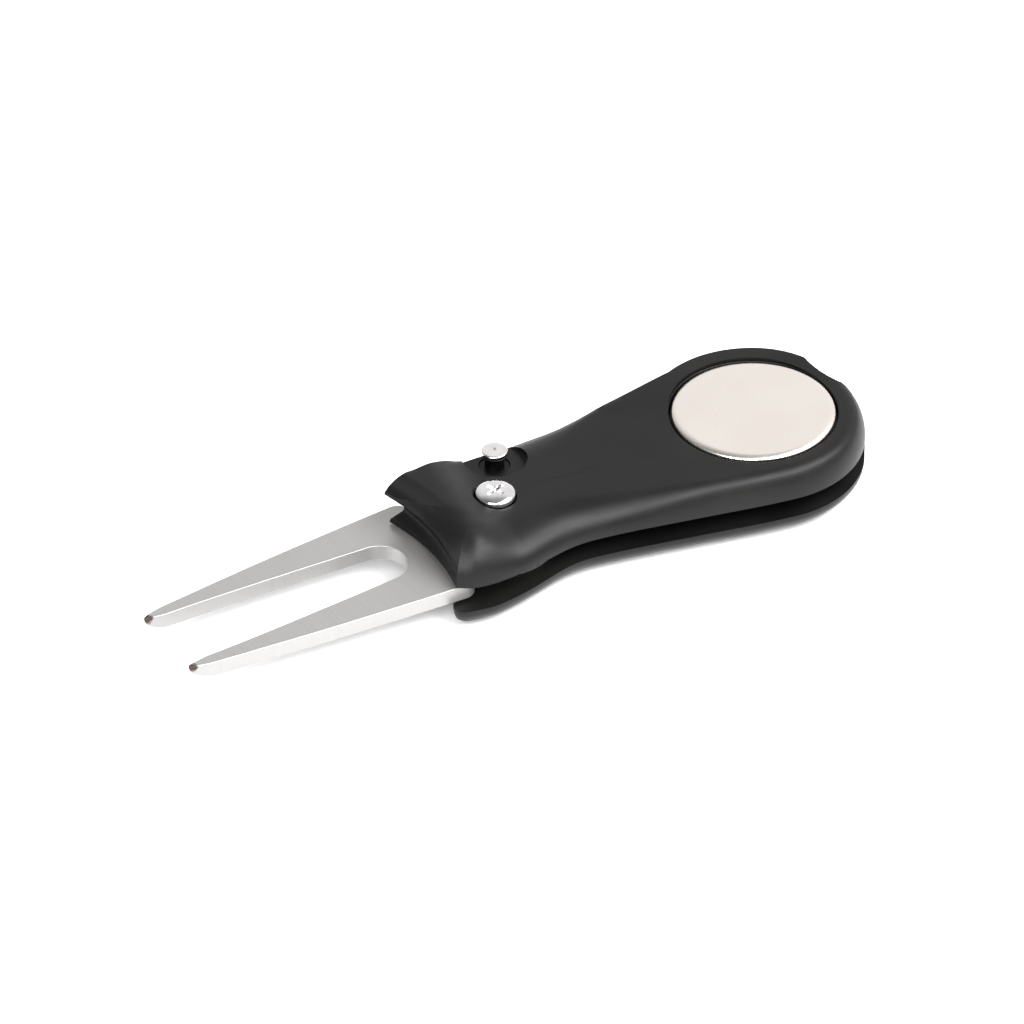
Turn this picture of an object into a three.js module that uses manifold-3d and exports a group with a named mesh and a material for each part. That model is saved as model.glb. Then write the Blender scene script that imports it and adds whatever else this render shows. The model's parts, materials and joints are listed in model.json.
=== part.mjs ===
// Flick-out divot tool: two plastic shells, a two-tined fork that folds into the slot between
// them, a spring-loaded release button and a ball marker held by a magnet.
// Millimetres. +Z is up, the fork points along -X, the slot opens towards -Y.
// The origin lies on the flat underside, below the centre of the ball marker.
import * as THREE from "three";
import Module from "manifold-3d";
import { mergeVertices } from "three/addons/utils/BufferGeometryUtils.js";

const wasm = await Module();
wasm.setup();

// ---------------------------------------------------------------- levels
const FLOOR_Z = 3.9; // inner face of the bottom shell
const FORK_BOTTOM_Z = 4.4;
const FORK_TOP_Z = 6.8;
const CEILING_Z = 7.1; // inner face and lower edge of the top shell
const CROWN_Z = 11.6; // top of the handle beside the marker
const ABOVE_Z = 16; // clear of everything, where cutters end

// ---------------------------------------------------------------- plan
const BUTT_R = 16.5; // the butt is round about the marker's axis
const PIVOT = { x: -43.1, y: 1.95 };
const BUTTON = { x: -38.2, y: 10.3 };
const BUTT_START = THREE.MathUtils.degToRad(-100);
const BUTT_END = THREE.MathUtils.degToRad(110);
const FRONT_R = 35.4; // plan radius of the hollow front end
const FRONT_CENTRE = { x: -90.3, y: 0.3 };
// Both shells follow these sides; only their two front corners differ.
const NEAR_SIDE = [
  [-36.5, -9.2],
  [-29.3, -10.1],
  [-17.4, -12.9],
  [-8, -15.2],
];
const FAR_SIDE = [
  [-11, 14.9],
  [-18, 14.2],
  [-25, 14.2],
  [-31, 14.5],
  [-37, 14.3],
  [-43, 13.8],
  [-49, 12.7],
];
const TOP_PLAN = {
  frontCentre: { x: -90.8, y: -1.8 }, // the brow overhangs the lip on the far side only
  nearCorner: [
    [-56.1, -8.7],
    [-53.8, -10.1],
    [-50, -10.7],
    [-44.5, -10.4],
  ],
  farCorner: [
    [-53.4, 11.9],
    [-55.5, 11.2],
    [-57.3, 10.2],
  ],
};
const BOTTOM_PLAN = {
  frontCentre: FRONT_CENTRE,
  nearCorner: [
    [-56.4, -8.2],
    [-56.8, -9.6],
    [-55.9, -10.7],
    [-53.8, -11.3],
    [-50.5, -11.7],
    [-45, -11],
  ],
  farCorner: [
    [-53.4, 11.8],
    [-55.6, 10.7],
    [-56.1, 9.2],
  ],
};

// ---------------------------------------------------------------- fork
const FORK_AXIS_Y = 2.4;
const TINE_OUTER = [
  [-96.9, 6.95],
  [-94.8, 7.5],
  [-90.9, 7.95],
  [-76.7, 9.35],
  [-62.8, 10.4],
  [-54.2, 10.95],
];
const TINE_INNER = [
  [-94.6, 5.75],
  [-88.5, 5.6],
  [-80, 5.2],
  [-72.9, 4.8],
  [-62.4, 4.2],
];
const ROOT_CORNER_R = 2.2;
const GAP_END_R = 4.2; // round end of the gap between the tines
const TIP_X = -97.5;
const NOSE_LENGTH = 3.9; // the underside of each tip rounds up over this length
const NOSE_Z = 6.5;
const TANG_R = 9; // full radius of the tang about the pivot
const TANG_JOIN = THREE.MathUtils.degToRad(137); // where the tang meets the root corners
const TANG_RELIEF_R = 7.3; // radius of the part that turns past the button
const NOTCH_R = 2.35; // stop notches for the button's collar

// ---------------------------------------------------------------- pivot
const BARREL_R = 3;
const BARREL_TOP_Z = 7.9;
const FORK_BORE_R = 3.05;
const PIVOT_SHANK_R = 1.45;
const PIVOT_HEAD_R = 2.95;
const PIVOT_HEAD_SEAT_Z = 10.6;
const SPRING_RECESS_R = 6.7;
const SPRING_RECESS_Z = 9.6;
const SPRING_COIL_R = 4.4;
const SPRING_WIRE_R = 0.4;

// ---------------------------------------------------------------- button
const GUIDE_R = 2.35; // guide hole in the top shell
const SCOOP_R = 4.85;
const SCOOP_Z = 10.1;
const BUTTON_POCKET_R = 2.8;
const BUTTON_POCKET_Z = 1;

// ---------------------------------------------------------------- marker
const MARKER_R = 12.1;
const MARKER_SEAT_Z = 10.1;
const MARKER_TOP_Z = 12.05;
const MARKER_RECESS_R = 12.5;
const MAGNET_R = 6;
const MAGNET_POCKET_Z = 8.4;

// ---------------------------------------------------------------- case screws
const CASE_SCREWS = [
  [-6, 13.9],
  [7, 13],
  [13.9, -4.8],
];
const CASE_SCREW_HEAD_Z = 1.7; // lower face of the head, inside its counterbore
const CASE_SCREW_SEAT_Z = 2.7;
const CASE_SCREW_TIP_Z = 9.2;

const CIRCLE_STEPS = 64;
const SMALL_STEPS = 40;

// ---------------------------------------------------------------- materials
const material = (color, roughness, metalness) =>
  new THREE.MeshStandardMaterial({ color, roughness, metalness });
const BLACK_PLASTIC = material(0x2b2a2a, 0.42, 0);
const SATIN_ALLOY = material(0xb8b5b2, 0.38, 1);
const NICKEL = material(0xe2d9d0, 0.3, 1);
const CHROME = material(0xd8d8da, 0.12, 1);
const SPRING_STEEL = material(0x8d8f92, 0.3, 1);
const BRASS = material(0xb08d4a, 0.35, 1);

// ---------------------------------------------------------------- helpers
// A geometry as a manifold-3d solid.
function solid(geometry) {
  const flat = geometry.index ? geometry.toNonIndexed() : geometry;
  const bare = new THREE.BufferGeometry();
  bare.setAttribute("position", flat.getAttribute("position"));
  const merged = mergeVertices(bare, 1e-4);
  return new wasm.Manifold(
    new wasm.Mesh({
      numProp: 3,
      vertProperties: new Float32Array(merged.attributes.position.array),
      triVerts: new Uint32Array(merged.index.array),
    }),
  );
}

// A manifold-3d solid as a mesh with flat faces.
function mesh(name, body, look) {
  const made = body.getMesh();
  const geometry = new THREE.BufferGeometry();
  geometry.setAttribute("position", new THREE.BufferAttribute(made.vertProperties, 3));
  geometry.setIndex(new THREE.BufferAttribute(made.triVerts, 1));
  const flat = geometry.toNonIndexed();
  flat.computeVertexNormals();
  const result = new THREE.Mesh(flat, look);
  result.name = name;
  return result;
}

// A solid of revolution about a vertical axis, from a profile of [radius, height] pairs.
function turned(profile, at, steps = CIRCLE_STEPS) {
  const points = profile.map(([radius, height]) => new THREE.Vector2(radius, height));
  const geometry = new THREE.LatheGeometry(points, steps);
  geometry.rotateX(Math.PI / 2);
  geometry.translate(at.x, at.y, 0);
  return solid(geometry);
}

function cylinder(radius, at, fromZ, toZ, steps = CIRCLE_STEPS) {
  const profile = [
    [0, fromZ],
    [radius, fromZ],
    [radius, toZ],
    [0, toZ],
  ];
  return turned(profile, at, steps);
}

function ring(inner, outer, at, fromZ, toZ, steps = CIRCLE_STEPS) {
  return cylinder(outer, at, fromZ, toZ, steps).subtract(
    cylinder(inner, at, fromZ - 1, toZ + 1, steps),
  );
}

// A plan shape pulled up from one height to another.
function prism(shape, fromZ, toZ, curveSegments = 6) {
  const geometry = new THREE.ExtrudeGeometry(shape, {
    depth: toZ - fromZ,
    bevelEnabled: false,
    curveSegments,
  });
  geometry.translate(0, 0, fromZ);
  return solid(geometry);
}

function box(from, to) {
  const size = to.map((value, i) => value - from[i]);
  const geometry = new THREE.BoxGeometry(...size);
  geometry.translate(...from.map((value, i) => value + size[i] / 2));
  return solid(geometry);
}

// Round wire along a path, with flat closed ends.
function wire(path, radius, steps) {
  const section = new THREE.Shape();
  section.absarc(0, 0, radius, 0, 2 * Math.PI);
  return solid(
    new THREE.ExtrudeGeometry(section, { steps, extrudePath: path, curveSegments: 4 }),
  );
}

const vectors = (pairs) => pairs.map(([x, y]) => new THREE.Vector2(x, y));
const smooth = THREE.MathUtils.smoothstep;
const lerp = THREE.MathUtils.lerp;
const bump = (x, centre, halfWidth) => 1 - smooth(Math.abs(x - centre), 0, halfWidth);

// ---------------------------------------------------------------- handle outline
// The plan of a shell, counter-clockwise from the near front corner.
function handleOutline({ frontCentre, nearCorner, farCorner }) {
  const shape = new THREE.Shape();
  shape.moveTo(...nearCorner[0]);
  shape.splineThru(vectors([...nearCorner.slice(1), ...NEAR_SIDE, onButt(BUTT_START)]));
  shape.absarc(0, 0, BUTT_R, BUTT_START, BUTT_END, false);
  shape.splineThru(vectors([...FAR_SIDE, ...farCorner]));
  const [from, to] = [farCorner.at(-1), nearCorner[0]].map(([, y]) =>
    Math.asin((y - frontCentre.y) / FRONT_R),
  );
  shape.absarc(frontCentre.x, frontCentre.y, FRONT_R, from, to, true);
  return shape;
}

function onButt(angle) {
  return [BUTT_R * Math.cos(angle), BUTT_R * Math.sin(angle)];
}

// Even points along the outline, with no point doubled.
function outlinePoints(plan, count) {
  return handleOutline(plan).getSpacedPoints(count).slice(0, count);
}

// The point on the handle's centre line that a point of the outline looks at.
function centreLine(point) {
  const x = THREE.MathUtils.clamp(point.x, PIVOT.x - 1, 0);
  return new THREE.Vector2(x, (x * PIVOT.y) / PIVOT.x);
}

// A closed body from the outline: each level has an inset towards the centre line and a height,
// both functions of the outline's point, and the levels are listed from the bottom up.
function loft(plan, levels, count = 132) {
  const rims = outlinePoints(plan, count);
  const positions = [];
  const faces = [];
  const rings = levels.map(({ inset, height }) =>
    rims.map((rim) => {
      const inward = centreLine(rim).sub(rim);
      const reach = Math.min(inset(rim), inward.length() - 0.3);
      const point = rim.clone().addScaledVector(inward.normalize(), reach);
      positions.push(point.x, point.y, height(rim, point, reach));
      return point;
    }),
  );
  for (let level = 0; level + 1 < levels.length; level++) {
    for (let i = 0; i < count; i++) {
      const a = level * count + i;
      const b = level * count + ((i + 1) % count);
      faces.push(a, b, b + count, a, b + count, a + count);
    }
  }
  const last = (levels.length - 1) * count;
  for (const [a, b, c] of THREE.ShapeUtils.triangulateShape(rings[0], [])) {
    faces.push(a, c, b);
  }
  for (const [a, b, c] of THREE.ShapeUtils.triangulateShape(rings.at(-1), [])) {
    faces.push(last + a, last + b, last + c);
  }
  const geometry = new THREE.BufferGeometry();
  geometry.setAttribute("position", new THREE.Float32BufferAttribute(positions, 3));
  geometry.setIndex(faces);
  return solid(geometry);
}

// ---------------------------------------------------------------- top shell
// Height of the crown: low at the waist, raised on the far side of the butt, with a crest behind
// the front that starts earlier on the far side.
function crownHeight({ x, y }) {
  const waist = 0.25 * bump(x, -28, 14);
  const crest = 2.3 * smooth(0.16 * y - x, 43.5, 51.5);
  const brow = 0.2 * smooth(-x, 52.5, 57);
  const farRim = 0.65 * smooth(y, 0, 12) * smooth(x, -20, -4);
  return CROWN_Z - waist + crest - brow + farRim;
}

// Width over which the edge rounds up to the crown, for a point of the outline: steep round
// the butt and at the far front corner, wide along the near side of the grip.
function edgeWidth(rim) {
  const far = 1.5 + 5.5 * bump(rim.x, -32, 15);
  const near = lerp(8.5, 2.2, smooth(rim.x, -54, -10));
  const side = lerp(near, far, smooth(rim.y - centreLine(rim).y, -6, 6));
  const front = 1 + 7.5 * smooth(-rim.y, -9, 9);
  return lerp(side, front, smooth(-rim.x, 50, 55));
}

function topShellBlank() {
  const insets = [0, 0.1, 0.35, 0.75, 1.3, 2, 2.9, 4, 5.5, 7.4, 9.4, BUTT_R];
  const roundUp = (rim, point, reach) => {
    const across = 1 - Math.min(reach / edgeWidth(rim), 1);
    const rise = Math.sqrt(1 - across * across);
    return CEILING_Z + 0.5 + (crownHeight(point) - CEILING_Z - 0.5) * rise;
  };
  const levels = insets.map((inset) => ({ inset: () => inset, height: roundUp }));
  return loft(TOP_PLAN, [{ inset: () => 0, height: () => CEILING_Z }, ...levels]);
}

// Shapes the front end below the brow: the lip, the shallow groove above it, which is deeper
// towards the far side, and the rounded edge of the brow.
function frontCutter() {
  const lip = [
    [0, FORK_TOP_Z],
    [FRONT_R, FORK_TOP_Z],
    [FRONT_R, 8],
    [0, 8],
  ];
  const groove = [
    [0, 7.9],
    [FRONT_R - 0.4, 7.9],
    [FRONT_R + 0.3, 8.4],
    [FRONT_R + 0.9, 9.2],
    [FRONT_R + 0.9, 10.1],
    [FRONT_R + 0.4, 11],
    [FRONT_R - 0.5, 11.8],
    [FRONT_R - 1.6, 12.4],
    [0, 12.4],
  ];
  const brow = [
    [0, 12.3],
    [FRONT_R - 0.75, 12.3],
    [FRONT_R - 0.6, 12.8],
    [FRONT_R - 0.2, 13.2],
    [FRONT_R + 0.5, 13.5],
    [FRONT_R + 2.2, 13.7],
    [FRONT_R + 4.5, 14.2],
    [0, ABOVE_Z],
  ];
  const grooveCentre = { x: FRONT_CENTRE.x, y: FRONT_CENTRE.y + 3 };
  return turned(lip, FRONT_CENTRE, 144)
    .add(turned(groove, grooveCentre, 144))
    .add(turned(brow, FRONT_CENTRE, 144));
}

// Carries the groove round the far front corner, under the horn of the brow.
function hornCutter() {
  const profile = [
    [0, FORK_TOP_Z],
    [4.7, FORK_TOP_Z],
    [5.2, 8],
    [6.2, 9.3],
    [5.6, 10.4],
    [4, 11.5],
    [0, 12.7],
  ];
  return turned(profile, { x: -56.5, y: 14.75 });
}

// Thumb notch at the end of the butt, for pushing the marker out. It deepens towards the top.
function thumbNotch() {
  const radius = 13.7;
  const depth = 1.2; // at the underside of the top shell
  const slope = 0.25;
  const angle = THREE.MathUtils.degToRad(12);
  const away = BUTT_R - depth + radius;
  const at = { x: away * Math.cos(angle), y: away * Math.sin(angle) };
  const radiusAt = (z) => radius + slope * (z - CEILING_Z);
  const profile = [
    [0, -1],
    [radiusAt(-1), -1],
    [radiusAt(ABOVE_Z), ABOVE_Z],
    [0, ABOVE_Z],
  ];
  return turned(profile, at, 96);
}

// Round recess for the fork spring, with a post in the middle that the barrel butts against.
function springRecess() {
  const postR = 2.4;
  const postZ = BARREL_TOP_Z + 0.05;
  const profile = [
    [0, 0],
    [SPRING_RECESS_R, 0],
    [SPRING_RECESS_R, SPRING_RECESS_Z],
    [postR, SPRING_RECESS_Z],
    [postR, postZ],
    [0, postZ],
  ];
  return turned(profile, PIVOT);
}

function topShell() {
  const centre = { x: 0, y: 0 };
  const anchorAngle = springAngle(SPRING_TURNS);
  let body = topShellBlank()
    .subtract(frontCutter())
    .subtract(hornCutter())
    .subtract(cylinder(MARKER_RECESS_R, centre, MARKER_SEAT_Z, ABOVE_Z))
    .subtract(cylinder(MAGNET_R + 0.1, centre, MAGNET_POCKET_Z, ABOVE_Z))
    .subtract(cylinder(SCOOP_R, BUTTON, SCOOP_Z, ABOVE_Z))
    .subtract(cylinder(GUIDE_R, BUTTON, 0, ABOVE_Z))
    .subtract(cylinder(PIVOT_HEAD_R + 0.25, PIVOT, PIVOT_HEAD_SEAT_Z, ABOVE_Z))
    .subtract(cylinder(PIVOT_SHANK_R + 0.05, PIVOT, 0, ABOVE_Z))
    .subtract(springRecess())
    .subtract(springAnchorSlot(anchorAngle))
    .subtract(thumbNotch());
  for (const [x, y] of CASE_SCREWS) {
    body = body.subtract(cylinder(0.85, { x, y }, 0, CASE_SCREW_TIP_Z + 0.3, SMALL_STEPS));
  }
  return mesh("top_shell", body, BLACK_PLASTIC);
}

// ---------------------------------------------------------------- bottom shell
// Width of the rounding under the edge, growing from the front to the butt.
function bellyWidth(rim) {
  return lerp(6, 6.5, smooth(rim.x, -50, -10));
}

function bottomShellBlank() {
  const drop = 3.6;
  const steps = 8;
  const levels = [];
  for (let i = 0; i <= steps; i++) {
    const angle = (Math.PI / 2) * (1 - i / steps);
    const share = 1 - Math.cos(angle);
    const height = drop * (1 - Math.sin(angle));
    levels.push({ inset: (rim) => share * bellyWidth(rim), height: () => height });
  }
  levels.push({ inset: () => 0, height: () => CEILING_Z });
  return loft(BOTTOM_PLAN, levels);
}

// What the fork sweeps inside the handle: everything but the wall along the far side and butt.
function forkCavity() {
  const reach = 55.7; // radius swept by the tips, with clearance
  const slotEnd = THREE.MathUtils.degToRad(-31);
  const shape = new THREE.Shape();
  shape.moveTo(-62, -30);
  shape.lineTo(30, -30);
  shape.lineTo(24 * Math.cos(slotEnd), 24 * Math.sin(slotEnd));
  const nearAngle = Math.asin((-7.36 - PIVOT.y) / reach);
  const farAngle = Math.asin((9.9 - PIVOT.y) / reach);
  shape.absarc(PIVOT.x, PIVOT.y, reach, nearAngle, farAngle, false);
  shape.splineThru(
    vectors([
      [5, 10.8],
      [-9, 12.1],
      [-23, 13.15],
      [-33, 13.65],
      [-38, 13.5],
      [-43, 12.95],
      [-49, 11.8],
    ]),
  );
  shape.lineTo(-49, 30);
  shape.lineTo(-62, 30);
  return prism(shape, FLOOR_Z, ABOVE_Z, 10);
}

function hexagon(acrossFlats, at) {
  const corner = acrossFlats / Math.sqrt(3);
  const shape = new THREE.Shape();
  for (let i = 0; i < 6; i++) {
    const angle = (i * Math.PI) / 3;
    const x = at.x + corner * Math.cos(angle);
    const y = at.y + corner * Math.sin(angle);
    if (i === 0) shape.moveTo(x, y);
    else shape.lineTo(x, y);
  }
  shape.closePath();
  return shape;
}

const NUT_FLATS = 5;
const NUT_FROM_Z = 0.5;
const NUT_TO_Z = 2.8;

function bottomShell() {
  let body = bottomShellBlank()
    .subtract(forkCavity())
    .subtract(thumbNotch())
    .subtract(cylinder(BUTTON_POCKET_R, BUTTON, BUTTON_POCKET_Z, CEILING_Z + 1))
    .subtract(cylinder(PIVOT_SHANK_R + 0.05, PIVOT, -1, CEILING_Z))
    .subtract(prism(hexagon(NUT_FLATS + 0.1, PIVOT), -1, NUT_TO_Z + 0.05));
  for (const [x, y] of CASE_SCREWS) {
    body = body
      .subtract(cylinder(1.5, { x, y }, -1, CASE_SCREW_SEAT_Z, SMALL_STEPS))
      .subtract(cylinder(0.85, { x, y }, -1, ABOVE_Z, SMALL_STEPS));
  }
  return mesh("bottom_shell", body, BLACK_PLASTIC);
}

// ---------------------------------------------------------------- fork
// The fork's plan. Both tines use the same points, on either side of the fork's axis.
function forkShape() {
  const across = ([x, y], side) => new THREE.Vector2(x, FORK_AXIS_Y + side * y);
  const side = (pairs, sign) => pairs.map((pair) => across(pair, sign));
  const tipCentreY = (TINE_OUTER[0][1] + TINE_INNER[0][1]) / 2;
  const shape = new THREE.Shape();
  const [rootX, rootY] = TINE_OUTER.at(-1);
  const start = across(TINE_OUTER[0], -1);
  shape.moveTo(start.x, start.y);
  shape.splineThru(side(TINE_OUTER.slice(1), -1));
  shape.absarc(rootX, FORK_AXIS_Y - rootY + ROOT_CORNER_R, ROOT_CORNER_R, -Math.PI / 2, 0, false);
  shape.absarc(PIVOT.x, PIVOT.y, TANG_R, -TANG_JOIN, TANG_JOIN, false);
  shape.absarc(rootX, FORK_AXIS_Y + rootY - ROOT_CORNER_R, ROOT_CORNER_R, 0, Math.PI / 2, false);
  shape.splineThru(side(TINE_OUTER.slice(0, -1).reverse(), 1));
  const farTip = across([TIP_X, tipCentreY], 1);
  shape.splineThru([farTip, across(TINE_INNER[0], 1)]);
  shape.splineThru(side(TINE_INNER.slice(1), 1));
  const endX = TINE_INNER.at(-1)[0];
  shape.absarc(endX, FORK_AXIS_Y, GAP_END_R, Math.PI / 2, -Math.PI / 2, true);
  shape.splineThru(side(TINE_INNER.slice(0, -1).reverse(), -1));
  const nearTip = across([TIP_X, tipCentreY], -1);
  shape.splineThru([nearTip, start]);
  return shape;
}

// The part of the tang's rim that is cut back so that it can turn past the button's collar.
function tangRelief() {
  const from = Math.atan2(BUTTON.y - PIVOT.y, BUTTON.x - PIVOT.x);
  const shape = new THREE.Shape();
  const outer = TANG_R + 4;
  shape.moveTo(PIVOT.x + outer * Math.cos(from), PIVOT.y + outer * Math.sin(from));
  shape.absarc(PIVOT.x, PIVOT.y, outer, from, from - Math.PI, true);
  shape.absarc(PIVOT.x, PIVOT.y, TANG_RELIEF_R, from - Math.PI, from, false);
  return prism(shape, 0, ABOVE_Z, 36);
}

// Rounds the underside of both tips up to a blunt nose.
function noseCutter() {
  const startX = TIP_X + NOSE_LENGTH;
  const height = NOSE_Z - FORK_BOTTOM_Z;
  const shape = new THREE.Shape();
  shape.moveTo(startX, FORK_BOTTOM_Z - 1);
  shape.lineTo(startX, FORK_BOTTOM_Z);
  shape.absellipse(startX, NOSE_Z, NOSE_LENGTH, height, 1.5 * Math.PI, Math.PI, true, 0);
  shape.lineTo(TIP_X - 1, NOSE_Z);
  shape.lineTo(TIP_X - 1, FORK_BOTTOM_Z - 1);
  const geometry = new THREE.ExtrudeGeometry(shape, {
    depth: 30,
    bevelEnabled: false,
    curveSegments: 10,
  });
  geometry.rotateX(Math.PI / 2);
  geometry.translate(0, 18, 0);
  return solid(geometry);
}

function fork() {
  const opposite = {
    x: 2 * PIVOT.x - BUTTON.x,
    y: 2 * PIVOT.y - BUTTON.y,
  };
  const leg = { x: PIVOT.x - SPRING_LEG_R, y: PIVOT.y };
  const body = prism(forkShape(), FORK_BOTTOM_Z, FORK_TOP_Z, 8)
    .subtract(tangRelief())
    .subtract(noseCutter())
    .subtract(cylinder(NOTCH_R, BUTTON, 0, ABOVE_Z, SMALL_STEPS))
    .subtract(cylinder(NOTCH_R, opposite, 0, ABOVE_Z, SMALL_STEPS))
    .subtract(cylinder(FORK_BORE_R, PIVOT, 0, ABOVE_Z))
    .subtract(cylinder(SPRING_WIRE_R + 0.15, leg, 0, ABOVE_Z, 24));
  return mesh("fork", body, SATIN_ALLOY);
}

// ---------------------------------------------------------------- pivot
function pivotBarrel() {
  return mesh("pivot_barrel", ring(1.55, BARREL_R, PIVOT, FLOOR_Z, BARREL_TOP_Z), SPRING_STEEL);
}

// Domed cross-recess screw that clamps both shells on the barrel.
function pivotScrew() {
  const domeTop = 13;
  const rimZ = 12.2;
  const profile = [
    [0, 0.9],
    [PIVOT_SHANK_R - 0.25, 0.9],
    [PIVOT_SHANK_R, 1.3],
    [PIVOT_SHANK_R, PIVOT_HEAD_SEAT_Z],
    [PIVOT_HEAD_R, PIVOT_HEAD_SEAT_Z],
    [PIVOT_HEAD_R, rimZ],
  ];
  for (let i = 1; i < 6; i++) {
    const part = 1 - i / 6;
    const height = rimZ + (domeTop - rimZ) * (1 - part * part);
    profile.push([PIVOT_HEAD_R * part, height]);
  }
  profile.push([0, domeTop]);
  const halfArm = 1.55;
  const halfWidth = 0.38;
  const { x, y } = PIVOT;
  const recessFloor = 11.4;
  const along = box(
    [x - halfArm, y - halfWidth, recessFloor],
    [x + halfArm, y + halfWidth, ABOVE_Z],
  );
  const across = box(
    [x - halfWidth, y - halfArm, recessFloor],
    [x + halfWidth, y + halfArm, ABOVE_Z],
  );
  return mesh("pivot_screw", turned(profile, PIVOT).subtract(along).subtract(across), CHROME);
}

function pivotNut() {
  const body = prism(hexagon(NUT_FLATS, PIVOT), NUT_FROM_Z, NUT_TO_Z).subtract(
    cylinder(PIVOT_SHANK_R + 0.05, PIVOT, -1, ABOVE_Z, SMALL_STEPS),
  );
  return mesh("pivot_nut", body, BRASS);
}

function thrustWasher() {
  return mesh("thrust_washer", ring(3.1, 5.5, PIVOT, 6.85, 7.05), SPRING_STEEL);
}

// Thin steel plate that the fork slides on, cut out round the button.
function wearPlate() {
  const body = ring(3.1, 9.15, PIVOT, FLOOR_Z + 0.05, FORK_BOTTOM_Z - 0.05).subtract(
    cylinder(3, BUTTON, 0, ABOVE_Z, SMALL_STEPS),
  );
  return mesh("wear_plate", body, SATIN_ALLOY);
}

// ---------------------------------------------------------------- fork spring
const SPRING_LEG_R = 6.1;
const SPRING_START_Z = 7.75;
const SPRING_PITCH = 0.62;
const SPRING_TURNS = 2.4;
const ANCHOR_R = 8.1;

function springAngle(turns) {
  return Math.PI + turns * 2 * Math.PI;
}

function springPoint(radius, turns, height) {
  const angle = springAngle(turns);
  return new THREE.Vector3(
    PIVOT.x + radius * Math.cos(angle),
    PIVOT.y + radius * Math.sin(angle),
    height,
  );
}

// The fixed leg of the fork spring sits in this slot in the top shell.
function springAnchorSlot(angle) {
  const from = SPRING_COIL_R;
  const length = ANCHOR_R + 0.4 - from;
  const halfWidth = SPRING_WIRE_R + 0.2;
  const geometry = new THREE.BoxGeometry(length, 2 * halfWidth, SPRING_RECESS_Z);
  geometry.translate(from + length / 2, 0, SPRING_RECESS_Z / 2);
  geometry.rotateZ(angle);
  geometry.translate(PIVOT.x, PIVOT.y, 0);
  return solid(geometry);
}

// Torsion spring: one leg stands in the fork's tang, the other lies in the top shell.
function forkSpring() {
  const points = [
    springPoint(SPRING_LEG_R, 0, 5),
    springPoint(SPRING_LEG_R, 0, 7),
    springPoint(SPRING_LEG_R - 0.3, 0.01, SPRING_START_Z - 0.1),
    springPoint(SPRING_COIL_R + 0.4, 0.05, SPRING_START_Z),
  ];
  const perTurn = 20;
  for (let i = 3; i <= SPRING_TURNS * perTurn - 2; i++) {
    const turns = i / perTurn;
    const height = SPRING_START_Z + SPRING_PITCH * turns;
    points.push(springPoint(SPRING_COIL_R, turns, height));
  }
  const endZ = SPRING_START_Z + SPRING_PITCH * SPRING_TURNS;
  points.push(springPoint(SPRING_COIL_R + 0.6, SPRING_TURNS - 0.03, endZ));
  points.push(springPoint(ANCHOR_R, SPRING_TURNS, endZ));
  const path = new THREE.CatmullRomCurve3(points);
  return mesh("fork_spring", wire(path, SPRING_WIRE_R * 0.7, 150), SPRING_STEEL);
}

// ---------------------------------------------------------------- button
// Turned button: cap, neck, guide, waist, locking collar bored for its spring, and flange.
function releaseButton() {
  const profile = [
    [1.7, 3.95],
    [2.6, 3.95],
    [2.6, 4.3],
    [2.2, 4.3],
    [2.2, 6.95],
    [1.2, 6.95],
    [1.2, 9.4],
    [GUIDE_R - 0.06, 9.5],
    [GUIDE_R - 0.06, 9.9],
    [1.5, 9.9],
    [1.5, 12.1],
    [1.8, 12.1],
    [1.95, 12.25],
    [1.95, 12.72],
    [1.8, 12.87],
    [0.32, 12.9],
    [0, 12.78],
    [0, 6.3],
    [1.7, 6.3],
    [1.7, 3.95],
  ];
  return mesh("release_button", turned(profile, BUTTON, SMALL_STEPS), CHROME);
}

function buttonSpring() {
  const turns = 6;
  const perTurn = 14;
  const fromZ = 1.25;
  const toZ = 6.05;
  const points = [];
  for (let i = 0; i <= turns * perTurn; i++) {
    const angle = (i / perTurn) * 2 * Math.PI;
    points.push(
      new THREE.Vector3(
        BUTTON.x + 1.25 * Math.cos(angle),
        BUTTON.y + 1.25 * Math.sin(angle),
        fromZ + ((toZ - fromZ) * i) / (turns * perTurn),
      ),
    );
  }
  const path = new THREE.CatmullRomCurve3(points);
  return mesh("button_spring", wire(path, 0.2, turns * perTurn), SPRING_STEEL);
}

// ---------------------------------------------------------------- marker
// Coin with a rounded rim that drops a little below its flat face.
function ballMarker() {
  const flatR = 10.9;
  const rimWidth = MARKER_R - flatR;
  const rimDrop = 0.55;
  const profile = [
    [0, MARKER_SEAT_Z],
    [MARKER_R - 0.3, MARKER_SEAT_Z],
    [MARKER_R, MARKER_SEAT_Z + 0.3],
  ];
  for (let i = 0; i <= 5; i++) {
    const angle = (i / 5) * (Math.PI / 2);
    const radius = flatR + rimWidth * Math.cos(angle);
    profile.push([radius, MARKER_TOP_Z - rimDrop * (1 - Math.sin(angle))]);
  }
  profile.push([0, MARKER_TOP_Z]);
  return mesh("ball_marker", turned(profile, { x: 0, y: 0 }, 96), NICKEL);
}

function markerMagnet() {
  const fromZ = MAGNET_POCKET_Z;
  const body = cylinder(MAGNET_R, { x: 0, y: 0 }, fromZ, MARKER_SEAT_Z - 0.05);
  return mesh("marker_magnet", body, SPRING_STEEL);
}

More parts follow.
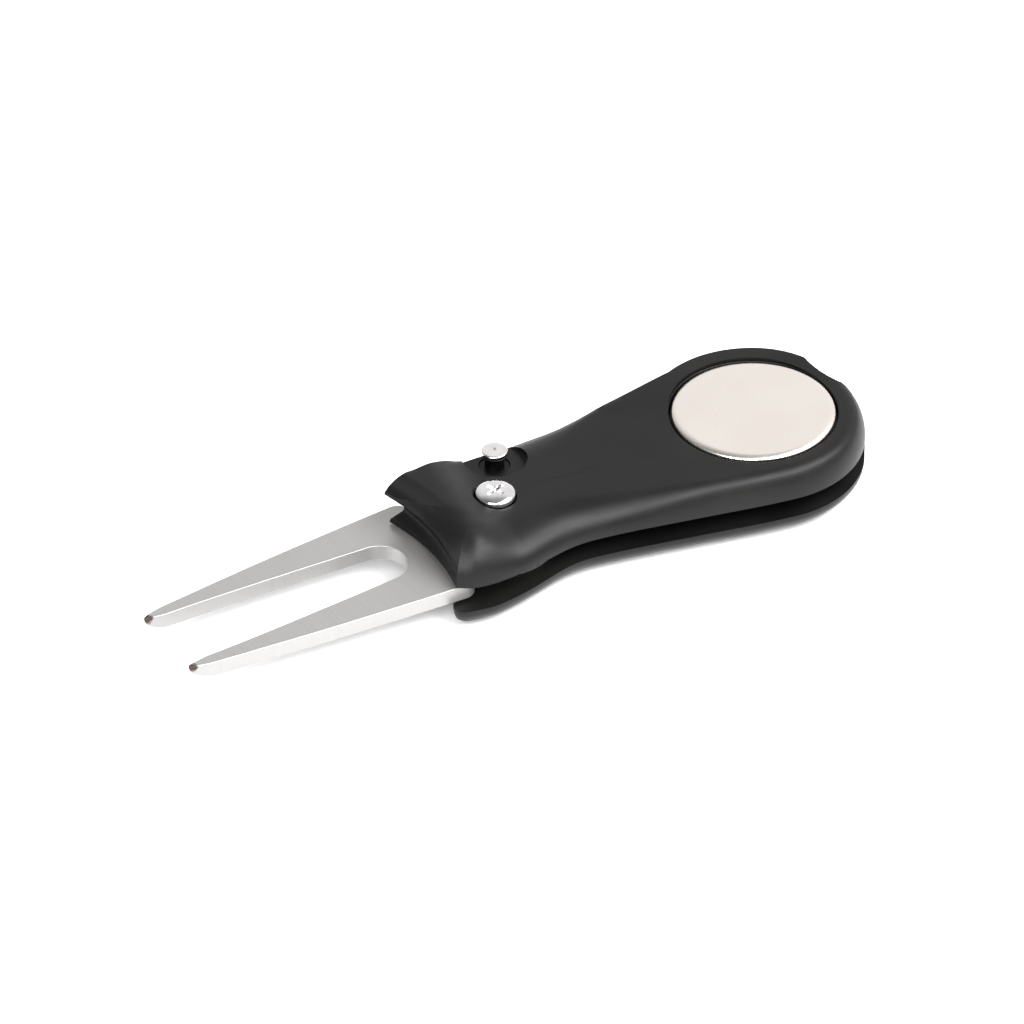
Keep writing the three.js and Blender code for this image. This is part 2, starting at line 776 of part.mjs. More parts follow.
// ---------------------------------------------------------------- case screws
function caseScrew([x, y], index) {
  const profile = [
    [0, CASE_SCREW_HEAD_Z],
    [1.2, CASE_SCREW_HEAD_Z],
    [1.4, CASE_SCREW_HEAD_Z + 0.25],
    [1.4, CASE_SCREW_SEAT_Z],
    [0.8, CASE_SCREW_SEAT_Z],
    [0.8, CASE_SCREW_TIP_Z - 0.7],
    [0, CASE_SCREW_TIP_Z],
  ];
  const recessTop = CASE_SCREW_HEAD_Z + 0.6;
  const along = box([x - 0.75, y - 0.17, 0], [x + 0.75, y + 0.17, recessTop]);
  const across = box([x - 0.17, y - 0.75, 0], [x + 0.17, y + 0.75, recessTop]);
  const body = turned(profile, { x, y }, SMALL_STEPS).subtract(along).subtract(across);
  return mesh(`case_screw_${index + 1}`, body, SPRING_STEEL);
}

// ---------------------------------------------------------------- assembly
const divotTool = new THREE.Group();
divotTool.name = "divot_tool";
divotTool.add(
  topShell(),
  bottomShell(),
  fork(),
  pivotBarrel(),
  pivotScrew(),
  pivotNut(),
  thrustWasher(),
  wearPlate(),
  forkSpring(),
  releaseButton(),
  buttonSpring(),
  ballMarker(),
  markerMagnet(),
  ...CASE_SCREWS.map(caseScrew),
);

export default divotTool;
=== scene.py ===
"""Looks of the folding divot tool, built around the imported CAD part. Lengths are in millimetres
until a mesh is made, and then in metres."""

import json
import math

import bmesh
import bpy
from mathutils import Matrix, Vector


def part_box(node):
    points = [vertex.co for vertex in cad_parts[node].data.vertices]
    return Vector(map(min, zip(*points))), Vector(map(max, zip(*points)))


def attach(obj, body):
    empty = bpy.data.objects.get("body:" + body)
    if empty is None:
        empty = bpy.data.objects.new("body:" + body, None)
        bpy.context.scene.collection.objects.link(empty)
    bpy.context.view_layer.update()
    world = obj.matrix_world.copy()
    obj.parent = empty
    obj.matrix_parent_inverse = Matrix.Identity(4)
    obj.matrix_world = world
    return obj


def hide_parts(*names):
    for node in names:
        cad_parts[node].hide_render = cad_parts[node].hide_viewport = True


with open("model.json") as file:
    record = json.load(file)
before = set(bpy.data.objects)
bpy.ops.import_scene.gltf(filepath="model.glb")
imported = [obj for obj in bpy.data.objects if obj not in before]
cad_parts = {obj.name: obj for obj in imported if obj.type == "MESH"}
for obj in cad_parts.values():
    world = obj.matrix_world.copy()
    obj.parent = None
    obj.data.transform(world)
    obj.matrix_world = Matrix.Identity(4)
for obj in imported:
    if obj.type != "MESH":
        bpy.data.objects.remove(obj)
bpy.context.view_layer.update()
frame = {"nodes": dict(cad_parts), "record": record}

MM = 0.001


# ---------------------------------------------------------------- places read from the frame
def box_mm(node):
    low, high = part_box(node)
    return low / MM, high / MM


def centre_of(node):
    low, high = box_mm(node)
    return ((low.x + high.x) / 2, (low.y + high.y) / 2)


PIVOT = centre_of("pivot_screw")
BUTTON = centre_of("release_button")
MARKER = centre_of("ball_marker")
CEILING_Z = box_mm("top_shell")[0].z
FORK_BOTTOM_Z, FORK_TOP_Z = (corner.z for corner in box_mm("fork"))
FLOOR_Z = box_mm("pivot_barrel")[0].z
MARKER_SEAT_Z, MARKER_TOP_Z = (corner.z for corner in box_mm("ball_marker"))
MARKER_R = box_mm("ball_marker")[1].x
MAGNET_R = box_mm("marker_magnet")[1].x
MAGNET_Z = box_mm("marker_magnet")[0].z
BUTT_R = box_mm("top_shell")[1].y
BUTTON_TOP_Z = box_mm("release_button")[1].z
BARREL_R = box_mm("pivot_barrel")[1].x - PIVOT[0]
BARREL_TOP_Z = box_mm("pivot_barrel")[1].z
HEAD_R = box_mm("pivot_screw")[1].x - PIVOT[0]
HEAD_TOP_Z = box_mm("pivot_screw")[1].z
TIP_X = box_mm("fork")[0].x
CROWN_Z = 11.6  # top face between the waist and the marker
ABOVE_Z = 17  # clear of everything, for cutters
BELOW_Z = -1

# ---------------------------------------------------------------- plan, as in the CAD part
# Both shells follow these sides. Their front centres and their two front corners differ.
NEAR_SIDE = [
    (-36.5, -9.2),
    (-29.3, -10.1),
    (-17.4, -12.9),
    (-8, -15.2),
]
FAR_SIDE = [
    (-11, 14.9),
    (-18, 14.2),
    (-25, 14.2),
    (-31, 14.5),
    (-37, 14.3),
    (-43, 13.8),
    (-49, 12.7),
]
BUTT_START = math.radians(-100)
BUTT_END = math.radians(110)
FRONT_R = 35.4
FRONT_CENTRE = (-90.3, 0.3)
TOP_PLAN = {
    "front_centre": (-90.8, -1.8),
    "near_corner": [(-56.1, -8.7), (-53.8, -10.1), (-50, -10.7), (-44.5, -10.4)],
    "far_corner": [(-53.4, 11.9), (-55.5, 11.2), (-57.3, 10.2)],
}
BOTTOM_PLAN = {
    "front_centre": FRONT_CENTRE,
    "near_corner": [
        (-56.4, -8.2),
        (-56.8, -9.6),
        (-55.9, -10.7),
        (-53.8, -11.3),
        (-50.5, -11.7),
        (-45, -11),
    ],
    "far_corner": [(-53.4, 11.8), (-55.6, 10.7), (-56.1, 9.2)],
}
TINE_OUTER = [
    (-96.9, 6.95),
    (-94.8, 7.5),
    (-90.9, 7.95),
    (-76.7, 9.35),
    (-62.8, 10.4),
    (-54.2, 10.95),
]
TINE_INNER = [
    (-94.6, 5.75),
    (-88.5, 5.6),
    (-80, 5.2),
    (-72.9, 4.8),
    (-62.4, 4.2),
]
ROOT_CORNER_R = 2.2
GAP_END_R = 4.2
FORK_AXIS_Y = 2.4
NOSE_LENGTH = 3.9
NOSE_Z = 6.5
TANG_R = 9
TANG_JOIN = math.radians(137)
TANG_RELIEF_R = 7.3  # the tang is cut back to this between its two notches
NOTCH_R = 2.35
GUIDE_R = 2.35
SCOOP_R = 4.85
SCOOP_Z = 10.1
SCOOP_LIP_Z = 12.1
HEAD_SEAT_Z = 10.6
SHANK_R = 1.45
SCREW_HOLE_R = 0.85
SCREW_HOLE_TOP_Z = 9.5
SCREW_HEAD_POCKET_R = 1.5
SCREW_HEAD_SEAT_Z = 2.7
SPRING_RECESS_R = 6.7
SPRING_RECESS_Z = 9.6
SPRING_TURNS = 2.4
SPRING_LEG_AT = 6.1  # from the pivot to the leg that stands in the fork


# ---------------------------------------------------------------- small helpers
def lerp(a, b, share):
    return a + (b - a) * share


def smooth(value, start, end):
    share = min(max((value - start) / (end - start), 0), 1)
    return share * share * (3 - 2 * share)


def bump_at(value, centre, half_width):
    return 1 - smooth(abs(value - centre), 0, half_width)


def arc(centre, radius, start, end, steps):
    """Points on an arc, both ends included."""
    points = []
    for i in range(steps + 1):
        angle = lerp(start, end, i / steps)
        points.append((centre[0] + radius * math.cos(angle), centre[1] + radius * math.sin(angle)))
    return points


def spline(points, per_span=12):
    """A Catmull-Rom curve through the points."""
    result = []
    last = len(points) - 1
    for i in range(last):
        p0 = Vector(points[max(i - 1, 0)])
        p1 = Vector(points[i])
        p2 = Vector(points[i + 1])
        p3 = Vector(points[min(i + 2, last)])
        start = (p2 - p0) / 2
        end = (p3 - p1) / 2
        for step in range(per_span):
            t = step / per_span
            cubic = 2 * p1 - 2 * p2 + start + end
            square = -3 * p1 + 3 * p2 - 2 * start - end
            result.append(tuple(cubic * t**3 + square * t**2 + start * t + p1))
    result.append(tuple(points[-1]))
    return result


def evenly(points, count):
    """The closed outline again, as count points at even spacing."""
    closed = [Vector(p) for p in points] + [Vector(points[0])]
    lengths = [(b - a).length for a, b in zip(closed, closed[1:])]
    total = sum(lengths)
    result = []
    span = 0
    passed = 0
    for i in range(count):
        wanted = total * i / count
        while passed + lengths[span] < wanted:
            passed += lengths[span]
            span += 1
        share = (wanted - passed) / max(lengths[span], 1e-9)
        result.append(closed[span].lerp(closed[span + 1], share))
    return result


def without_doubles(points, least=0.02):
    kept = [points[0]]
    for point in points[1:]:
        if (Vector(point) - Vector(kept[-1])).length > least:
            kept.append(point)
    if (Vector(kept[0]) - Vector(kept[-1])).length <= least:
        kept.pop()
    return kept


def piece(name, vertices, faces):
    """A mesh object from points in millimetres."""
    data = bpy.data.meshes.new(name)
    data.from_pydata([tuple(c * MM for c in v) for v in vertices], [], faces)
    data.validate()
    built = bmesh.new()
    built.from_mesh(data)
    bmesh.ops.remove_doubles(built, verts=built.verts, dist=1e-7)
    bmesh.ops.recalc_face_normals(built, faces=built.faces)
    built.to_mesh(data)
    built.free()
    result = bpy.data.objects.new(name, data)
    bpy.context.scene.collection.objects.link(result)
    return result


def stacked(name, rings):
    """A closed body from rings of equal length, bottom first, capped at both ends."""
    count = len(rings[0])
    vertices = [point for ring in rings for point in ring]
    faces = [tuple(reversed(range(count)))]
    for level in range(len(rings) - 1):
        for i in range(count):
            a = level * count + i
            b = level * count + (i + 1) % count
            faces.append((a, b, b + count, a + count))
    first = (len(rings) - 1) * count
    faces.append(tuple(range(first, first + count)))
    return piece(name, vertices, faces)


def turned(name, profile, at, steps=128):
    """A solid of revolution from (radius, height) pairs that start and end on the axis."""
    rings = []
    for radius, height in profile:
        if radius < 1e-6:
            rings.append([(at[0], at[1], height)])
            continue
        ring = arc(at, radius, 0, 2 * math.pi, steps)[:-1]
        rings.append([(x, y, height) for x, y in ring])
    vertices = [point for ring in rings for point in ring]
    faces = []
    start = 0
    for ring, after in zip(rings, rings[1:]):
        following = start + len(ring)
        for i in range(steps):
            j = (i + 1) % steps
            low = [start] if len(ring) == 1 else [start + i, start + j]
            high = [following] if len(after) == 1 else [following + j, following + i]
            if len(low) + len(high) > 2:
                faces.append(tuple(low + high))
        start = following
    return piece(name, vertices, faces)


def prism(name, points, from_z, to_z):
    low = [(x, y, from_z) for x, y in points]
    high = [(x, y, to_z) for x, y in points]
    return stacked(name, [low, high])


def bar(name, at, length, width, from_z, to_z, angle=0.0, start=None):
    """A box that lies along an angle, from a starting distance or centred on its place."""
    begin = -length / 2 if start is None else start
    corners = [
        (begin, -width / 2),
        (begin + length, -width / 2),
        (begin + length, width / 2),
        (begin, width / 2),
    ]
    cos, sin = math.cos(angle), math.sin(angle)
    points = [(at[0] + x * cos - y * sin, at[1] + x * sin + y * cos) for x, y in corners]
    return prism(name, points, from_z, to_z)


def cut(target, cutters):
    """Takes the cutters out of the target and deletes them."""
    for cutter in cutters:
        modifier = target.modifiers.new(cutter.name, "BOOLEAN")
        modifier.operation = "DIFFERENCE"
        modifier.solver = "EXACT"
        modifier.object = cutter
    bake_modifiers(target)
    for cutter in cutters:
        bpy.data.objects.remove(cutter)


def bake_modifiers(target):
    graph = bpy.context.evaluated_depsgraph_get()
    target.data = bpy.data.meshes.new_from_object(target.evaluated_get(graph))
    target.modifiers.clear()


def shade(target, degrees=32):
    """Smooth shading, with edges sharper than the angle kept crisp."""
    data = target.data
    data.shade_smooth()
    data.set_sharp_from_angle(angle=math.radians(degrees))


# ---------------------------------------------------------------- handle outline
def handle_outline(plan, count):
    centre = plan["front_centre"]
    near_end = plan["near_corner"][0]
    far_end = plan["far_corner"][-1]
    butt = arc(MARKER, BUTT_R, BUTT_START, BUTT_END, 120)
    near = spline(plan["near_corner"] + NEAR_SIDE + [butt[0]])
    far = spline([butt[-1]] + FAR_SIDE + plan["far_corner"])
    start, end = (math.asin((y - centre[1]) / FRONT_R) for _, y in (far_end, near_end))
    front = arc(centre, FRONT_R, start, end, 40)
    return evenly(without_doubles(near + butt + far + front), count)


def centre_line(rim):
    x = min(max(rim.x, PIVOT[0] - 1), 0)
    return Vector((x, x * PIVOT[1] / PIVOT[0]))


def loft(name, plan, levels, count=640):
    rims = handle_outline(plan, count)
    rings = []
    for inset, height in levels:
        ring = []
        for rim in rims:
            inward = centre_line(rim) - rim
            reach = min(inset(rim), inward.length - 0.3)
            point = rim + inward.normalized() * reach
            ring.append((point.x, point.y, height(rim, point, reach)))
        rings.append(ring)
    return stacked(name, rings)


# ---------------------------------------------------------------- top shell
def crown_height(point):
    waist = 0.25 * bump_at(point.x, -28, 14)
    crest = 2.3 * smooth(0.16 * point.y - point.x, 43.5, 51.5)
    brow = 0.2 * smooth(-point.x, 52.5, 57)
    far_rim = 0.65 * smooth(point.y, 0, 12) * smooth(point.x, -20, -4)
    return CROWN_Z - waist + crest - brow + far_rim


def edge_width(rim):
    far = 1.5 + 5.5 * bump_at(rim.x, -32, 15)
    near = lerp(8.5, 2.2, smooth(rim.x, -54, -10))
    side = lerp(near, far, smooth(rim.y - centre_line(rim).y, -6, 6))
    front = 1 + 7.5 * smooth(-rim.y, -9, 9)
    return lerp(side, front, smooth(-rim.x, 50, 55))


def top_shell_blank():
    def round_up(rim, point, reach):
        across = 1 - min(reach / edge_width(rim), 1)
        rise = math.sqrt(1 - across * across)
        base = CEILING_Z + 0.5
        return base + (crown_height(point) - base) * rise

    def at(inset):
        return lambda rim: inset

    over_the_edge = [0.01 * 1.42**i for i in range(15)]
    across_the_top = [2.2 + 0.75 * i for i in range(20)]
    insets = over_the_edge + across_the_top
    levels = [(at(0), lambda rim, point, reach: CEILING_Z), (at(0), round_up)]
    levels += [(at(inset), round_up) for inset in insets]
    return loft("shell_top", TOP_PLAN, levels)


def flared(name, low_z, points, high_z, at, steps=720):
    """A turned cutter whose wall is a smooth curve through the points."""
    return turned(name, [(0, low_z)] + spline(points, 6) + [(0, high_z)], at, steps)


def front_cutters():
    """The lip, the groove above it and the rounded brow."""
    groove = [
        (FRONT_R - 0.4, 7.9),
        (FRONT_R + 0.3, 8.4),
        (FRONT_R + 0.9, 9.2),
        (FRONT_R + 0.9, 10.1),
        (FRONT_R + 0.4, 11),
        (FRONT_R - 0.5, 11.8),
        (FRONT_R - 1.6, 12.4),
    ]
    brow = [
        (FRONT_R - 0.75, 12.3),
        (FRONT_R - 0.6, 12.8),
        (FRONT_R - 0.2, 13.2),
        (FRONT_R + 0.5, 13.5),
        (FRONT_R + 2.2, 13.7),
        (FRONT_R + 4.5, 14.2),
    ]
    groove_centre = (FRONT_CENTRE[0], FRONT_CENTRE[1] + 3)
    return [
        hole("lip_cutter", FRONT_CENTRE, FRONT_R, FORK_TOP_Z, 8, 720),
        flared("groove_cutter", 7.9, groove, 12.4, groove_centre),
        flared("brow_cutter", 12.3, brow, ABOVE_Z, FRONT_CENTRE),
    ]


def horn_cutter():
    """The hollow under the far horn."""
    centre = (-56.5, 14.75)
    wall = [
        (4.7, FORK_TOP_Z),
        (5.2, 8),
        (6.2, 9.3),
        (5.6, 10.4),
        (4, 11.5),
        (0, 12.7),
    ]
    return turned("horn_cutter", [(0, FORK_TOP_Z)] + spline(wall, 6), centre, 240)


def thumb_notch():
    """A scallop at the end of the butt, which deepens towards the top."""
    radius = 13.7
    depth = 1.2  # at the underside of the top shell
    slope = 0.25
    away = BUTT_R - depth + radius
    angle = math.radians(12)
    at = (away * math.cos(angle), away * math.sin(angle))
    wall = [(radius + slope * (z - CEILING_Z), z) for z in (BELOW_Z, ABOVE_Z)]
    return turned("thumb_notch", [(0, BELOW_Z)] + wall + [(0, ABOVE_Z)], at, 360)


def hole(name, at, radius, from_z, to_z, steps=96):
    return turned(name, [(0, from_z), (radius, from_z), (radius, to_z), (0, to_z)], at, steps)


def eased_hole(name, at, radius, floor_z, lip_z, ease):
    """A blind hole from above whose mouth is rounded over."""
    lip = []
    for i in range(9):
        angle = math.pi / 2 * i / 8
        lip.append((radius + ease * (1 - math.cos(angle)), lip_z - ease * (1 - math.sin(angle))))
    foot = 0.15
    profile = [(0, floor_z), (radius - foot, floor_z), (radius, floor_z + foot)]
    profile += lip + [(radius + ease, ABOVE_Z), (0, ABOVE_Z)]
    return turned(name, profile, at, 160)


def spring_recess():
    """A ring-shaped room for the fork's spring, round a post that stands on the barrel."""
    post_r = 2.4
    post_z = BARREL_TOP_Z + 0.05
    profile = [
        (0, 0),
        (SPRING_RECESS_R, 0),
        (SPRING_RECESS_R, SPRING_RECESS_Z),
        (post_r, SPRING_RECESS_Z),
        (post_r, post_z),
        (0, post_z),
    ]
    return turned("spring_recess", profile, PIVOT)


def anchor_slot():
    """A slot for the spring's fixed end, where its last turn stops."""
    start, length, width = 4.4, 4.1, 1.2
    angle = math.pi + SPRING_TURNS * 2 * math.pi
    return bar("anchor_slot", PIVOT, length, width, 0, SPRING_RECESS_Z, angle, start)


CASE_SCREWS = [centre_of(f"case_screw_{number}") for number in (1, 2, 3)]


def make_top_shell():
    shell = top_shell_blank()
    marker_gap = 0.4
    head_gap = 0.22
    counterbore_lip_z = 11.85
    cutters = front_cutters() + [
        horn_cutter(),
        eased_hole("marker_recess", MARKER, MARKER_R + marker_gap, MARKER_SEAT_Z, CROWN_Z, 0.15),
        hole("magnet_pocket", MARKER, MAGNET_R + 0.1, MAGNET_Z, ABOVE_Z),
        eased_hole("scoop", BUTTON, SCOOP_R, SCOOP_Z, SCOOP_LIP_Z, 0.25),
        hole("guide", BUTTON, GUIDE_R, 0, ABOVE_Z),
        eased_hole("counterbore", PIVOT, HEAD_R + head_gap, HEAD_SEAT_Z, counterbore_lip_z, 0.2),
        hole("shank_hole", PIVOT, SHANK_R + 0.05, 0, ABOVE_Z),
        spring_recess(),
        anchor_slot(),
        thumb_notch(),
    ]
    for at in CASE_SCREWS:
        cutters.append(hole("screw_hole", at, SCREW_HOLE_R, 0, SCREW_HOLE_TOP_Z, 40))
    cut(shell, cutters)
    shade(shell)
    return shell


# ---------------------------------------------------------------- bottom shell
def belly_width(rim):
    return lerp(6, 6.5, smooth(rim.x, -50, -10))


def bottom_shell_blank():
    drop = 3.6
    steps = 22
    levels = []
    for i in range(steps + 1):
        angle = math.pi / 2 * (1 - i / steps)
        share = 1 - math.cos(angle)
        height = drop * (1 - math.sin(angle))
        levels.append(
            (
                lambda rim, share=share: share * belly_width(rim),
                lambda rim, point, reach, height=height: height,
            )
        )
    levels.append((lambda rim: 0, lambda rim, point, reach: CEILING_Z))
    return loft("shell_bottom", BOTTOM_PLAN, levels)


def fork_cavity():
    """The room that the fork sweeps and folds into, open along the near side and at the front."""
    reach = 55.7
    slot_end = math.radians(-31)
    near_angle = math.asin((-7.36 - PIVOT[1]) / reach)
    far_angle = math.asin((9.9 - PIVOT[1]) / reach)
    wall = spline(
        [
            arc(PIVOT, reach, far_angle, far_angle, 1)[0],
            (5, 10.8),
            (-9, 12.1),
            (-23, 13.15),
            (-33, 13.65),
            (-38, 13.5),
            (-43, 12.95),
            (-49, 11.8),
        ]
    )
    points = [(-62, -30), (30, -30), (24 * math.cos(slot_end), 24 * math.sin(slot_end))]
    points += arc(PIVOT, reach, near_angle, far_angle, 48)[:-1] + wall
    points += [(-49, 30), (-62, 30)]
    return prism("fork_cavity", points, FLOOR_Z, ABOVE_Z)


def hexagon(at, across_flats):
    corner = across_flats / math.sqrt(3)
    return arc(at, corner, 0, 2 * math.pi, 6)[:-1]


def make_bottom_shell():
    shell = bottom_shell_blank()
    nut_top = box_mm("pivot_nut")[1].z
    nut_pocket_flats = 5.1
    button_pocket_r = 2.8
    button_pocket_z = 1
    cutters = [
        fork_cavity(),
        thumb_notch(),
        hole("button_pocket", BUTTON, button_pocket_r, button_pocket_z, ABOVE_Z),
        hole("shank_hole", PIVOT, SHANK_R + 0.05, BELOW_Z, ABOVE_Z),
        prism("nut_pocket", hexagon(PIVOT, nut_pocket_flats), BELOW_Z, nut_top + 0.05),
    ]
    for at in CASE_SCREWS:
        cutters.append(hole("head_pocket", at, SCREW_HEAD_POCKET_R, BELOW_Z, SCREW_HEAD_SEAT_Z, 64))
        cutters.append(hole("screw_hole", at, SCREW_HOLE_R, BELOW_Z, ABOVE_Z, 40))
    cut(shell, cutters)
    shade(shell)
    return shell


# ---------------------------------------------------------------- fork
def fork_outline():
    axis = FORK_AXIS_Y

    def side(points, sign):
        return [(x, axis + sign * y) for x, y in points]

    tip_y = (TINE_OUTER[0][1] + TINE_INNER[0][1]) / 2
    root_x, root_y = TINE_OUTER[-1]
    corner_y = root_y - ROOT_CORNER_R
    quarter = math.pi / 2
    points = spline(side(TINE_OUTER, -1))
    points += arc((root_x, axis - corner_y), ROOT_CORNER_R, -quarter, 0, 16)
    points += arc(PIVOT, TANG_R, -TANG_JOIN, TANG_JOIN, 96)
    points += arc((root_x, axis + corner_y), ROOT_CORNER_R, 0, quarter, 16)
    points += spline(side(TINE_OUTER[::-1], 1))
    points += spline(side([TINE_OUTER[0], (TIP_X + 0.05, tip_y), TINE_INNER[0]], 1))
    points += spline(side(TINE_INNER, 1))
    points += arc((TINE_INNER[-1][0], axis), GAP_END_R, quarter, -quarter, 40)
    points += spline(side(TINE_INNER[::-1], -1))
    points += spline(side([TINE_INNER[0], (TIP_X + 0.05, tip_y), TINE_OUTER[0]], -1))
    return without_doubles(points, 0.05)


def eased_prism(name, points, from_z, to_z, ease):
    """A plate whose top and bottom edges are eased by a small chamfer."""
    count = len(points)
    inner = []
    for i, point in enumerate(points):
        before = Vector(points[i - 1])
        after = Vector(points[(i + 1) % count])
        along = (after - before).normalized()
        inner.append(Vector(point) + Vector((-along.y, along.x)) * ease)
    rings = [
        [(p.x, p.y, from_z) for p in inner],
        [(x, y, from_z + ease) for x, y in points],
        [(x, y, to_z - ease) for x, y in points],
        [(p.x, p.y, to_z) for p in inner],
    ]
    return stacked(name, rings)


def tang_relief():
    """Cuts the tang back between its two notches, so that it can turn past the button's collar."""
    start = math.atan2(BUTTON[1] - PIVOT[1], BUTTON[0] - PIVOT[0])
    outer = arc(PIVOT, TANG_R + 4, start, start - math.pi, 48)
    inner = arc(PIVOT, TANG_RELIEF_R, start - math.pi, start, 96)
    return prism("tang_relief", outer + inner, 0, ABOVE_Z)


def slice_tips(plate):
    """Cuts the tips across, so that their undersides can be rounded."""
    built = bmesh.new()
    built.from_mesh(plate.data)
    steps = 16
    for i in range(steps):
        along = math.sin(math.pi / 2 * i / steps)
        place = Vector((TIP_X + NOSE_LENGTH * (1 - along), 0, 0)) * MM
        everything = built.verts[:] + built.edges[:] + built.faces[:]
        bmesh.ops.bisect_plane(built, geom=everything, plane_co=place, plane_no=(1, 0, 0))
    built.to_mesh(plate.data)
    built.free()


def round_noses(plate):
    """Lifts the underside of both tips to a blunt nose."""
    built = bmesh.new()
    built.from_mesh(plate.data)
    start = TIP_X + NOSE_LENGTH
    middle_z = (FORK_BOTTOM_Z + FORK_TOP_Z) / 2
    least_edge = 0.07
    for vertex in built.verts:
        if vertex.co.x / MM >= start or vertex.co.z / MM >= middle_z:
            continue
        along = min((start - vertex.co.x / MM) / NOSE_LENGTH, 1)
        lift = (NOSE_Z - FORK_BOTTOM_Z) * (1 - math.sqrt(1 - along * along))
        vertex.co.z = min(vertex.co.z + lift * MM, (FORK_TOP_Z - least_edge) * MM)
    built.to_mesh(plate.data)
    built.free()


def make_fork():
    edge = 0.035
    leg_hole_r = 0.55
    leg = (PIVOT[0] - SPRING_LEG_AT, PIVOT[1])
    plate = eased_prism("fork_blade", fork_outline(), FORK_BOTTOM_Z, FORK_TOP_Z, edge)
    slice_tips(plate)
    opposite = (2 * PIVOT[0] - BUTTON[0], 2 * PIVOT[1] - BUTTON[1])
    cutters = [
        tang_relief(),
        hole("notch_open", BUTTON, NOTCH_R, 0, ABOVE_Z),
        hole("notch_shut", opposite, NOTCH_R, 0, ABOVE_Z),
        hole("fork_bore", PIVOT, BARREL_R + 0.05, 0, ABOVE_Z),
        hole("leg_hole", leg, leg_hole_r, 0, ABOVE_Z, 32),
    ]
    cut(plate, cutters)
    round_noses(plate)
    shade(plate, 25)
    return plate


# ---------------------------------------------------------------- turned metal pieces
def make_marker():
    rim_width, rim_drop, steps = 1.2, 0.55, 12
    flat_r = MARKER_R - rim_width
    rim = []
    for i in range(steps + 1):
        angle = math.pi / 2 * i / steps
        radius = flat_r + (MARKER_R - flat_r) * math.cos(angle)
        rim.append((radius, MARKER_TOP_Z - rim_drop * (1 - math.sin(angle))))
    foot = [(0, MARKER_SEAT_Z), (MARKER_R - 0.3, MARKER_SEAT_Z), (MARKER_R, MARKER_SEAT_Z + 0.3)]
    disc = turned("marker_disc", foot + rim + [(0, MARKER_TOP_Z)], MARKER, 256)
    shade(disc)
    return disc


def make_screw():
    rim_z = 12.2
    steps = 16
    low = box_mm("pivot_screw")[0].z
    profile = [
        (0, low),
        (SHANK_R - 0.25, low),
        (SHANK_R, low + 0.4),
        (SHANK_R, HEAD_SEAT_Z),
        (HEAD_R - 0.08, HEAD_SEAT_Z),
        (HEAD_R, HEAD_SEAT_Z + 0.08),
    ]
    for i in range(steps + 1):
        angle = math.pi / 2 * i / steps
        radius = HEAD_R * math.cos(angle) ** 0.75  # fuller than a plain ellipse
        profile.append((radius, rim_z + (HEAD_TOP_Z - rim_z) * math.sin(angle)))
    profile[-1] = (0, HEAD_TOP_Z)
    screw = turned("cross_screw", profile, PIVOT, 128)
    cutters = []
    slot_length, slot_width, slot_z = 3.1, 0.62, 12.05
    turn = math.radians(20)
    for quarter in (0, 1):
        angle = turn + quarter * math.pi / 2
        cutters.append(bar("cross_slot", PIVOT, slot_length, slot_width, slot_z, ABOVE_Z, angle))
    well = [(0, 11.6), (0.75, 12.3), (0.95, ABOVE_Z), (0, ABOVE_Z)]
    cutters.append(turned("cross_well", well, PIVOT, 4))
    cut(screw, cutters)
    shade(screw)
    return screw


def make_button():
    """Bottom to top: flange, locking collar bored for its spring, waist, guide, neck and cap."""
    top = BUTTON_TOP_Z
    profile = [
        (0, 6.3),
        (1.7, 6.3),
        (1.7, 3.95),
        (2.6, 3.95),
        (2.6, 4.3),
        (2.2, 4.3),
        (2.2, 6.95),
        (1.2, 6.95),
        (1.2, 9.4),
        (2.25, 9.5),
        (2.29, 9.55),
        (2.29, 9.85),
        (2.24, 9.9),
        (1.5, 9.9),
        (1.46, 10),
        (1.46, 12.02),
        (1.5, 12.1),
        (1.82, 12.1),
        (1.92, 12.16),
        (1.95, 12.28),
        (1.95, top - 0.2),
        (1.91, top - 0.09),
        (1.83, top - 0.03),
        (1.7, top),
        (0.34, top),
        (0.26, top - 0.03),
        (0.12, top - 0.11),
        (0, top - 0.13),
    ]
    button = turned("push_button", profile, BUTTON, 96)
    shade(button, 35)
    return button


